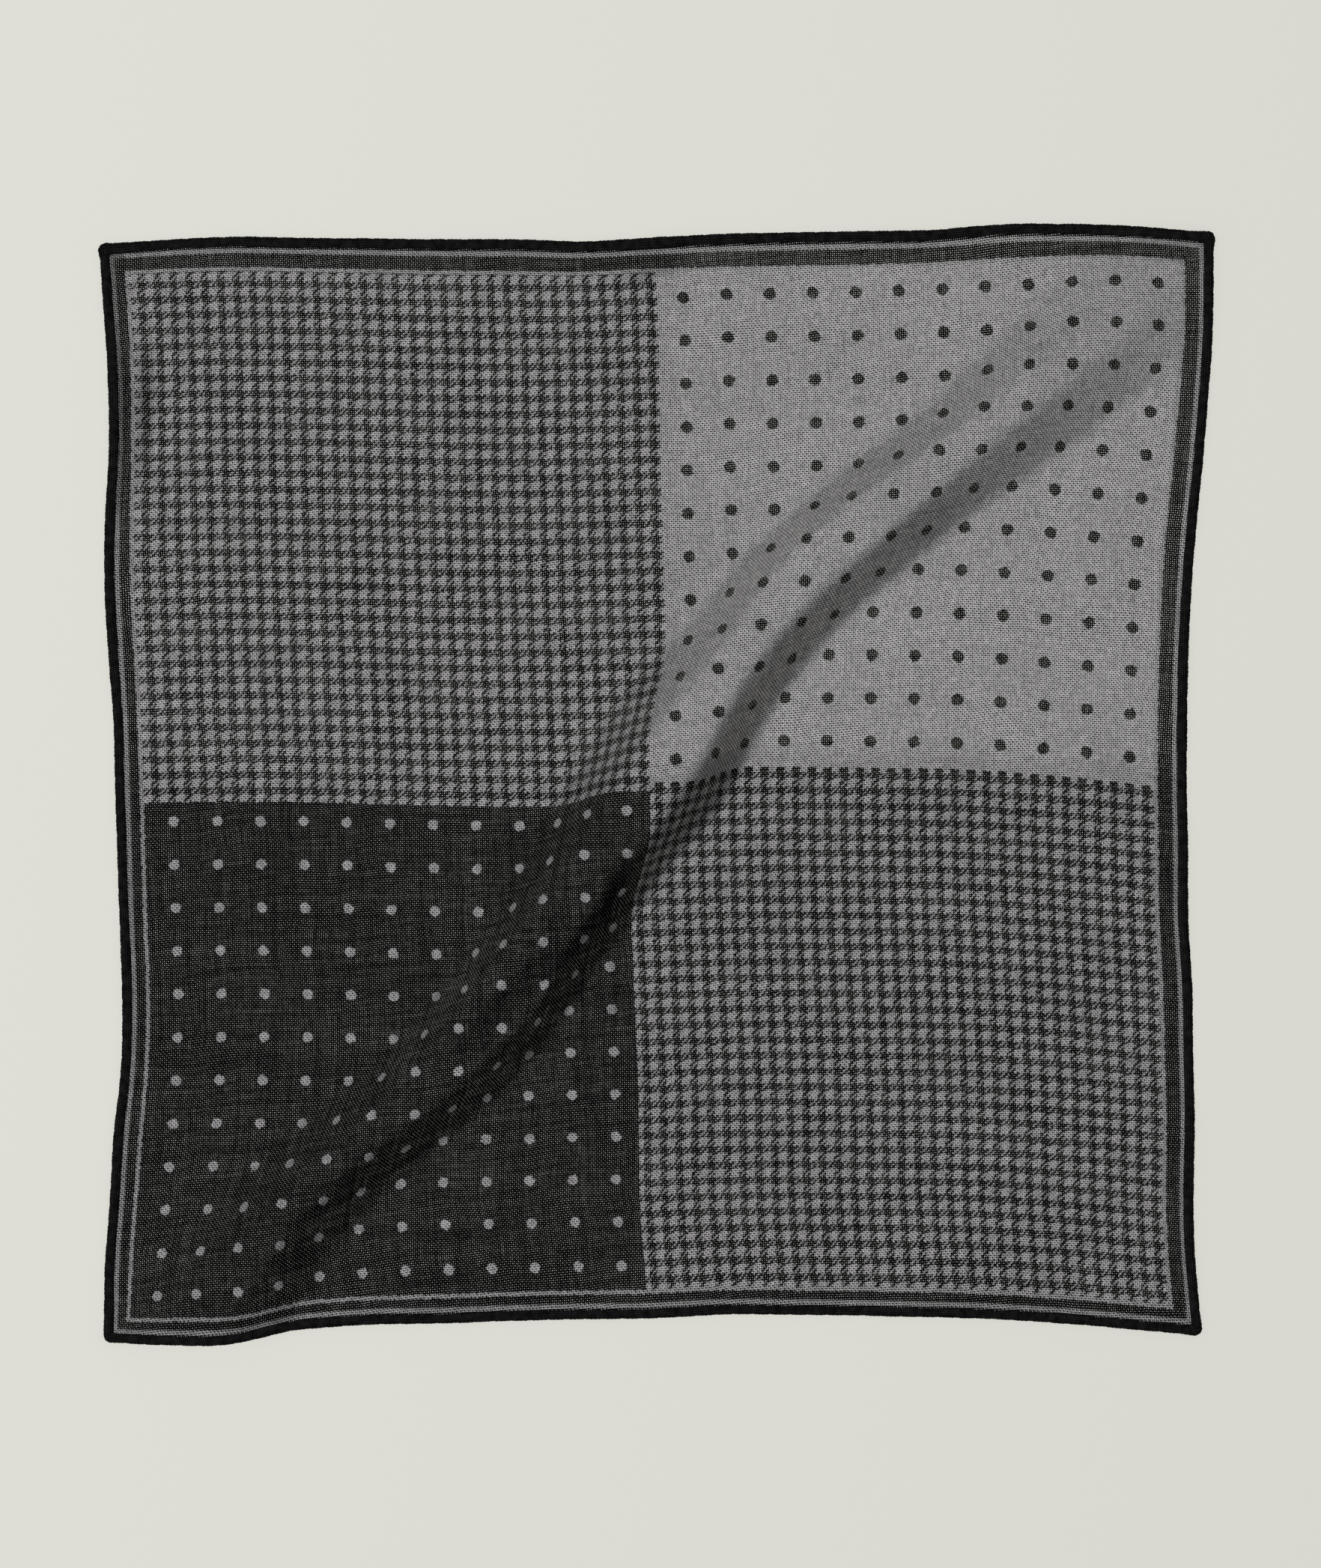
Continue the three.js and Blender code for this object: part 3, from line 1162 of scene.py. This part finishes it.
@dataclass
class Sheet:
    """The woven square itself, one layer thick, up to the middle of its rolled hem."""

    cloth: LaidCloth
    finish: ClothFinish = field(default_factory=ClothFinish)
    cells: int = 300
    edge_inset: float = 1.3
    lift: float = 0.15
    steep_limit: float = 0.8
    # The yarns close up on slopes, most on those turned away from the light, and in the creases' troughs, as
    # painted shade.
    slope_shade_closing: float = 0.085
    trough_shade_closing: float = 0.055
    away_from_light_closing: float = 0.57
    print_closing: float = 0.08
    upper_left_opening: float = 0.42
    panel_fade: float = 8.0
    uv_map: str = "cloth_map"

    def build(self, shift: Array) -> bpy.types.Object:
        """Makes and dresses the sheet.

        Args:
            shift: What is added to laid points to reach the part's own frame.

        Returns:
            The sheet.
        """
        reach = HALF - self.edge_inset
        places = np.linspace(-reach, reach, self.cells + 1)
        u, v = np.meshgrid(places, places)
        points = self.cloth.lay(u, v) + shift + np.array([0, 0, self.lift])
        count = self.cells + 1
        corner = (np.arange(self.cells)[:, None] * count + np.arange(self.cells)[None, :]).ravel()
        faces = np.stack([corner, corner + 1, corner + count + 1, corner + count], axis=-1)
        piece = make_object("cloth_sheet", points.reshape(-1, 3), faces.tolist())
        flat = np.stack([u.ravel(), v.ravel()], axis=-1) / SIDE + 0.5
        give_uv(piece, self.uv_map, flat[faces.ravel()])
        steep, closed = self.slopes(points, u, v)
        for name, values in {self.finish.steep_name: steep, self.finish.closed_and_shade_name: closed}.items():
            layer = piece.data.attributes.new(name, "FLOAT", "POINT")
            layer.data.foreach_set("value", values.ravel().astype(np.float32))
        piece.data.materials.append(self.finish.material(self.uv_map))
        piece.visible_shadow = False
        piece.visible_diffuse = False
        return piece

    def slopes(self, points: Array, u: Array, v: Array) -> tuple[Array, Array]:
        """Measures the sheet's slopes.

        Args:
            points: A grid of rows (x, y, z).
            u: Each vertex's place to the right on the flat cloth.
            v: Its place upwards.

        Returns:
            For each vertex, how steep the sheet is, 0 where it is level and 1 at steep_limit or more,
            and how much wider its yarns are, in yarns. They close up most where the cloth falls to the
            lower right, away from the light, and in the creases' troughs, as painted shade; a little in
            the two lower panels, less in the upper left one, and not at all on level ground in the upper
            right one. Wider yarns are also painted darker, as painted shade.
        """
        rise_x = np.gradient(points[..., 2], axis=1) / np.gradient(points[..., 0], axis=1)
        rise_y = np.gradient(points[..., 2], axis=0) / np.gradient(points[..., 1], axis=0)
        slope = np.hypot(rise_x, rise_y)
        steep = np.clip(slope / self.steep_limit, 0, 1)
        facing = (rise_y - rise_x) / math.sqrt(2) / np.maximum(slope, TINY)
        # Painted shade on slopes: the yarns close up and darken, most where the cloth faces away from the
        # light.
        shade_by_slope = steep * (1 + self.away_from_light_closing * facing) / (1 + self.away_from_light_closing) * self.slope_shade_closing
        at_right, at_top = soft_step(u / self.panel_fade), soft_step(v / self.panel_fade)
        opening = at_right * (1 - self.upper_left_opening) + self.upper_left_opening
        by_panel = (1 - opening * at_top) * self.print_closing
        # Painted shade in the creases' troughs: the yarns close up and darken there.
        troughs = sum(np.maximum(0, -crease.rise(u, v)) for crease in (*CREASES, *FINE_CREASES))
        return steep, shade_by_slope + by_panel + troughs * self.trough_shade_closing


@dataclass(frozen=True)
class Knob:
    """A corner of the hem, where the two rolls cross and swell."""

    u: int
    v: int
    swell: float
    lift: float


@dataclass
class RolledHem:
    """The edge of the cloth, rolled over and sewn down all the way round."""

    cloth: LaidCloth
    finish: HemFinish = field(default_factory=HemFinish)
    half_width: float = 1.6
    # Right, top, left and bottom.
    side_half_widths: tuple[float, float, float, float] = (1.5, 1.55, 1.5, 1.4)
    half_height: float = 1.0
    corner_radius: float = 0.35
    step: float = 0.42
    sides: int = 14
    stitch_pitch: float = 5.5
    pinch: float = 0.07
    lump: float = 0.07
    lump_share: float = 0.5
    lump_pitch: float = 1.22
    grain_share: float = 0.6
    slow_swell: float = 0.05
    slow_steps: tuple[int, ...] = (60, 14)
    fewest_knots: int = 4
    side_blend: float = 12.0
    least_rise: float = 0.02
    uv_map: str = "hem_map"
    seed: int = 7
    knobs: tuple[Knob, ...] = (
        Knob(u=1, v=1, swell=0.42, lift=0.9),
        Knob(u=-1, v=1, swell=0.24, lift=0.3),
        Knob(u=-1, v=-1, swell=0.10, lift=0.1),
        Knob(u=1, v=-1, swell=0.22, lift=0.2),
    )
    knob_reach: float = 3.2

    def flat_path(self) -> tuple[Array, Array]:
        """Traces the roll's centre line on the flat cloth, anticlockwise, with rounded corners.

        Returns:
            The places to the right and upwards of evenly spaced points.
        """
        inner = HALF - self.half_width
        straight = inner - self.corner_radius
        arc = self.corner_radius * math.pi / 2
        side_steps = round(2 * straight / self.step)
        arc_steps = math.ceil(arc / self.step)
        u, v = [], []
        for quarter in range(4):
            turn = quarter * math.pi / 2
            run = np.arange(side_steps) / side_steps * 2 * straight - straight
            angle = np.arange(arc_steps) / arc_steps * math.pi / 2
            x = np.concatenate([np.full(side_steps, inner), straight + self.corner_radius * np.cos(angle)])
            y = np.concatenate([run, straight + self.corner_radius * np.sin(angle)])
            u.append(x * math.cos(turn) - y * math.sin(turn))
            v.append(x * math.sin(turn) + y * math.cos(turn))
        return np.concatenate(u), np.concatenate(v)

    def frame(self, shift: Array) -> tuple[Array, Array, Array]:
        """Lays the centre line down and finds the direction off it.

        Args:
            shift: What is added to laid points to reach the part's own frame.

        Returns:
            The points, the outward direction at each, and the way along to each.
        """
        u, v = self.flat_path()
        points = self.cloth.lay(u, v) + shift
        ahead = np.roll(points, -1, axis=0) - np.roll(points, 1, axis=0)
        ahead /= np.linalg.norm(ahead, axis=1, keepdims=True)
        outward = np.stack([ahead[:, 1], -ahead[:, 0], np.zeros(len(ahead))], axis=-1)
        outward /= np.linalg.norm(outward, axis=1, keepdims=True)
        steps = np.linalg.norm(np.roll(points, -1, axis=0) - points, axis=1)
        along = np.concatenate([[0.0], np.cumsum(steps)])
        return points, outward, along

    def half_widths(self, u: Array, v: Array) -> Array:
        """Finds the roll's own half width, which changes gently from side to side.

        Args:
            u: The centre line's places to the right.
            v: Its places upwards.

        Returns:
            The half width at each point.
        """
        near = np.stack([u, v, -u, -v]) / HALF
        share = np.exp((near - 1) * self.side_blend)
        widths = np.array(self.side_half_widths)[:, None]
        return (share * widths).sum(axis=0) / share.sum(axis=0)

    def knob_at(self, u: Array, v: Array) -> tuple[Array, Array]:
        """Finds how much the roll swells and lifts near a corner.

        Args:
            u: The centre line's places to the right.
            v: Its places upwards.

        Returns:
            The swelling as a share of the roll's size, and the lift, at each point.
        """
        swell, lift = np.zeros_like(u), np.zeros_like(u)
        for knob in self.knobs:
            away = np.hypot(u - knob.u * HALF, v - knob.v * HALF)
            near = soft_step(1 - away / (2 * self.knob_reach))
            swell += knob.swell * near
            lift += knob.lift * near
        return swell, lift

    def build(self, shift: Array) -> bpy.types.Object:
        """Makes and dresses the roll.

        Args:
            shift: What is added to laid points to reach the part's own frame.

        Returns:
            The roll.
        """
        points, outward, along = self.frame(shift)
        length = along[-1]
        place = along[:-1]
        draw = np.random.default_rng(self.seed)
        flat_u, flat_v = self.flat_path()
        swell, lift = self.knob_at(flat_u, flat_v)
        own_half = self.half_widths(flat_u, flat_v)
        points = points + outward * (self.half_width - own_half)[:, None]
        stitch = np.cos(2 * math.pi * place / (length / round(length / self.stitch_pitch)))
        uneven = sum(self.slow_noise(draw, len(place), every) * self.slow_swell for every in self.slow_steps)
        size = 1 + swell + uneven - self.pinch * np.maximum(0, stitch) ** 2
        angles = np.arange(self.sides) / self.sides * 2 * math.pi
        lumps = np.cos(2 * math.pi * (place[:, None] / self.lump_pitch) + 2 * angles[None, :])
        grain = draw.uniform(-0.5, 0.5, (len(place), self.sides))
        bumps = lumps * self.lump_share + grain * self.grain_share
        reach = size[:, None] * (1 + self.lump * bumps)
        across = own_half[:, None] * reach * np.cos(angles)
        up = self.half_height * reach * np.sin(angles)
        ring = points[:, None, :] + across[..., None] * outward[:, None, :]
        ring[..., 2] += self.half_height * size[:, None] + lift[:, None] + up
        ring[..., 2] = np.maximum(ring[..., 2], points[:, None, 2] + self.least_rise)
        piece = make_object("rolled_hem", ring.reshape(-1, 3), self.ring_faces(len(place)))
        piece.visible_shadow = False
        girth = 2 * math.pi * (self.half_width + self.half_height) / 2
        give_uv(piece, self.uv_map, self.ring_uv(along / length))
        piece.data.materials.append(self.finish.material(self.uv_map, length, girth))
        return piece

    def slow_noise(self, draw: np.random.Generator, count: int, every: int) -> Array:
        """Draws smooth random values round the roll.

        Args:
            draw: The random numbers' source.
            count: How many points the roll has.
            every: How many points lie between two draws.

        Returns:
            A value from -1 to 1 for each point.
        """
        knots = draw.uniform(-1, 1, max(count // every, self.fewest_knots))
        knots = np.append(knots, knots[0])
        return np.interp(np.linspace(0, len(knots) - 1, count), np.arange(len(knots)), knots)

    def ring_faces(self, count: int) -> list[list[int]]:
        """Lists the faces of a closed tube, pointing outwards.

        Args:
            count: How many rings it has.

        Returns:
            Vertex numbers, round each face.
        """
        ring, side = np.meshgrid(np.arange(count), np.arange(self.sides), indexing="ij")
        next_ring, next_side = (ring + 1) % count, (side + 1) % self.sides
        quad = [
            ring * self.sides + side,
            next_ring * self.sides + side,
            next_ring * self.sides + next_side,
            ring * self.sides + next_side,
        ]
        return np.stack(quad, axis=-1).reshape(-1, 4).tolist()

    def ring_uv(self, share: Array) -> Array:
        """Lists the UV map's corners: along the roll to the right, and round it upwards.

        Args:
            share: The way along to each ring as a share, and 1 at the end.

        Returns:
            A row for each face corner.
        """
        around = np.arange(self.sides + 1) / self.sides
        low, high = share[:-1, None], share[1:, None]
        start, end = around[None, :-1], around[None, 1:]
        shape = (len(share) - 1, self.sides)
        quads = []
        for x, y in ((low, start), (high, start), (high, end), (low, end)):
            quads.append(np.stack([np.broadcast_to(x, shape), np.broadcast_to(y, shape)], axis=-1))
        return np.stack(quads, axis=2).reshape(-1, 2)


@dataclass
class HemStitches:
    """The small slanting stitches that hold the roll down."""

    hem: RolledHem
    finish: SewingThread = field(default_factory=SewingThread)
    length: float = 1.5
    thickness: float = 0.16
    slant: float = 55.0
    slant_spread: float = 12.0
    seat: float = 38.0
    bead_sides: int = 6
    bead_rings: int = 5
    seed: int = 11

    def sizes(self) -> dict[str, float]:
        """The node tree's named sizes, in metres and radians.

        Returns:
            Each size under the name of its input.
        """
        return {
            "Stitch pitch": self.hem.stitch_pitch * MM,
            "Stitch length": self.length * MM,
            "Thread thickness": self.thickness * MM,
            "Slant": math.radians(self.slant),
            "Slant spread": math.radians(self.slant_spread),
        }

    def tree(self, material: bpy.types.Material) -> bpy.types.NodeTree:
        """Builds the node tree that sets stitches along a path.

        Args:
            material: What the stitches wear.

        Returns:
            The tree.
        """
        tree = bpy.data.node_groups.new("hem stitches", "GeometryNodeTree")
        tree.interface.new_socket("Path", in_out="INPUT", socket_type="NodeSocketGeometry")
        for name in self.sizes():
            tree.interface.new_socket(name, in_out="INPUT", socket_type="NodeSocketFloat")
        tree.interface.new_socket("Stitches", in_out="OUTPUT", socket_type="NodeSocketGeometry")
        book = NodeBook(tree)
        group = book.node("NodeGroupInput")
        given = {socket.name: Wire(book, socket) for socket in group.outputs}
        slant, spread = given["Slant"], given["Slant spread"]
        thickness = given["Thread thickness"]
        path = book.add("GeometryNodeMeshToCurve", inputs={"Mesh": given["Path"]})
        evenly = {"Curve": path, "Length": given["Stitch pitch"]}
        places = book.add("GeometryNodeResampleCurve", {"mode": "LENGTH"}, evenly)
        ball = {"Segments": self.bead_sides, "Rings": self.bead_rings, "Radius": 0.5}
        bead = book.add("GeometryNodeMeshUVSphere", inputs=ball)
        lengths = {"X": given["Stitch length"], "Y": thickness, "Z": thickness}
        size = book.add("ShaderNodeCombineXYZ", inputs=lengths)
        tangent = {"Vector": book.add("GeometryNodeInputTangent")}
        along = book.add("FunctionNodeAlignRotationToVector", {"axis": "X"}, tangent)
        draw = {2: slant - spread, 3: slant + spread, "Seed": self.seed}
        angle = book.add("FunctionNodeRandomValue", {"data_type": "FLOAT"}, draw, output=1)
        turn = {"Rotation": along, "Rotate By": book.add("ShaderNodeCombineXYZ", inputs={"Z": angle})}
        slanted = book.add("FunctionNodeRotateRotation", {"rotation_space": "LOCAL"}, turn)
        beads = {"Points": places, "Instance": bead, "Rotation": slanted, "Scale": size}
        placed = book.add("GeometryNodeInstanceOnPoints", inputs=beads)
        real = book.add("GeometryNodeRealizeInstances", inputs={"Geometry": placed})
        dressed = book.add("GeometryNodeSetMaterial", inputs={"Geometry": real, "Material": material})
        book.node("NodeGroupOutput", inputs={"Stitches": dressed})
        return tree

    def build(self, shift: Array) -> bpy.types.Object:
        """Makes and dresses the stitches.

        Args:
            shift: What is added to laid points to reach the part's own frame.

        Returns:
            All stitches as one piece.
        """
        points, outward, _ = self.hem.frame(shift)
        angle = math.radians(self.seat)
        inward = -math.sin(angle) * self.hem.half_width
        upward = self.hem.half_height * (1 + math.cos(angle))
        path = points + outward * inward + np.array([0, 0, upward])
        mesh = bpy.data.meshes.new("stitch_path")
        edges = [(i, (i + 1) % len(path)) for i in range(len(path))]
        mesh.from_pydata((path * MM).tolist(), edges, [])
        guide = bpy.data.objects.new("stitch_path", mesh)
        bpy.context.scene.collection.objects.link(guide)
        modifier = guide.modifiers.new("stitches", "NODES")
        tree = self.tree(self.finish.material())
        modifier.node_group = tree
        sizes = self.sizes()
        for item in tree.interface.items_tree:
            if item.name in sizes:
                modifier[item.identifier] = sizes[item.name]
        ready = guide.evaluated_get(bpy.context.evaluated_depsgraph_get())
        final = bpy.data.meshes.new_from_object(ready)
        final.name = "hem_stitches"
        guide.modifiers.remove(modifier)
        bpy.data.objects.remove(guide)
        piece = bpy.data.objects.new("hem_stitches", final)
        bpy.context.scene.collection.objects.link(piece)
        return piece


@dataclass(frozen=True)
class Studio:
    """A pale floor, soft light from high on the left and a camera straight above."""

    floor_size: float = 6.0
    floor_tone: tuple[float, float, float] = (0.80, 0.80, 0.738)
    floor_roughness: float = 0.95
    speckle_scale: float = 900.0
    speckle_tone: float = 0.985
    sky_strength: float = 0.14
    key_power: float = 472.0
    key_elevation: float = 62.0
    key_bearing: float = 278.0
    key_distance: float = 7.0
    key_size: float = 5.1
    camera_height: float = 3.0
    sensor: float = 0.036

    def floor(self) -> bpy.types.Object:
        """Makes the floor that the cloth lies on.

        Returns:
            The floor.
        """
        half = self.floor_size / 2 / MM
        square = np.array([[-half, -half, 0], [half, -half, 0], [half, half, 0], [-half, half, 0]])
        piece = make_object("floor", square, [[0, 1, 2, 3]])
        book = MaterialBook("pale card")
        place = book.add("ShaderNodeTexCoord", output="Object")
        noise = {"Vector": place, "Scale": self.speckle_scale, "Detail": 2.0}
        speckle = book.add("ShaderNodeTexNoise", inputs=noise)
        darker = grey(self.speckle_tone, self.floor_tone)
        inputs = {
            "Base Color": book.mix_color(speckle, darker, grey(1.0, self.floor_tone)),
            "Roughness": self.floor_roughness,
            "Specular IOR Level": 0.0,
        }
        piece.data.materials.append(book.surface(inputs))
        return piece

    def lights(self) -> None:
        """Makes the soft key light and the even light of the room."""
        lamp = bpy.data.lights.new("key", "AREA")
        lamp.shape = "DISK"
        lamp.size = self.key_size
        lamp.energy = self.key_power
        key = bpy.data.objects.new("key", lamp)
        bearing, elevation = math.radians(self.key_bearing), math.radians(self.key_elevation)
        level = math.cos(elevation)
        towards = Vector((math.sin(bearing) * level, math.cos(bearing) * level, math.sin(elevation)))
        key.location = towards * self.key_distance
        key.rotation_euler = towards.to_track_quat("Z", "Y").to_euler()
        bpy.context.scene.collection.objects.link(key)
        world = bpy.data.worlds.new("room")
        world.use_nodes = True
        background = world.node_tree.nodes["Background"]
        background.inputs["Color"].default_value = (1.0, 1.0, 1.0, 1.0)
        background.inputs["Strength"].default_value = self.sky_strength
        bpy.context.scene.world = world
        bpy.context.scene.view_settings.view_transform = "Standard"
        # Denoising would wipe out the weave, which is finer than its filter.
        bpy.context.scene.cycles.use_denoising = False

    def camera(self, shift: Array) -> None:
        """Sets the camera over the middle of the picture.

        Args:
            shift: What is added to laid points to reach the part's own frame.
        """
        lens = bpy.data.cameras.new("camera")
        picture_height = PICTURE_HEIGHT * PIXEL * MM
        lens.lens = self.sensor / MM * self.camera_height / picture_height
        lens.sensor_width = self.sensor / MM
        x = (PICTURE_WIDTH / 2 - CLOTH_MIDDLE_PIXEL[0]) * PIXEL + shift[0]
        y = (CLOTH_MIDDLE_PIXEL[1] - PICTURE_HEIGHT / 2) * PIXEL + shift[1]
        eye = bpy.data.objects.new("camera", lens)
        eye.location = (x * MM, y * MM, self.camera_height)
        bpy.context.scene.collection.objects.link(eye)
        bpy.context.scene.camera = eye


def main() -> None:
    """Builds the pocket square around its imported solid."""
    logging.basicConfig(level=logging.INFO, format="%(name)s: %(message)s")
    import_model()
    cloth = LaidCloth()
    shift = -cloth.middle()
    studio = Studio()
    studio.camera(shift)
    studio.lights()
    floor = studio.floor()

    hem_maker = RolledHem(cloth)
    makers: dict[str, Callable[[Array], bpy.types.Object]] = {
        "sheet": Sheet(cloth).build,
        "hem": hem_maker.build,
        "stitches": HemStitches(hem_maker).build,
    }
    made = {name: make(shift) for name, make in makers.items()}
    for name, piece in made.items():
        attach(piece, BODY)
        LOG.info("%s: %s, %d faces", name, piece.name, len(piece.data.polygons))
    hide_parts(NODE)


if __name__ == "__main__":
    main()
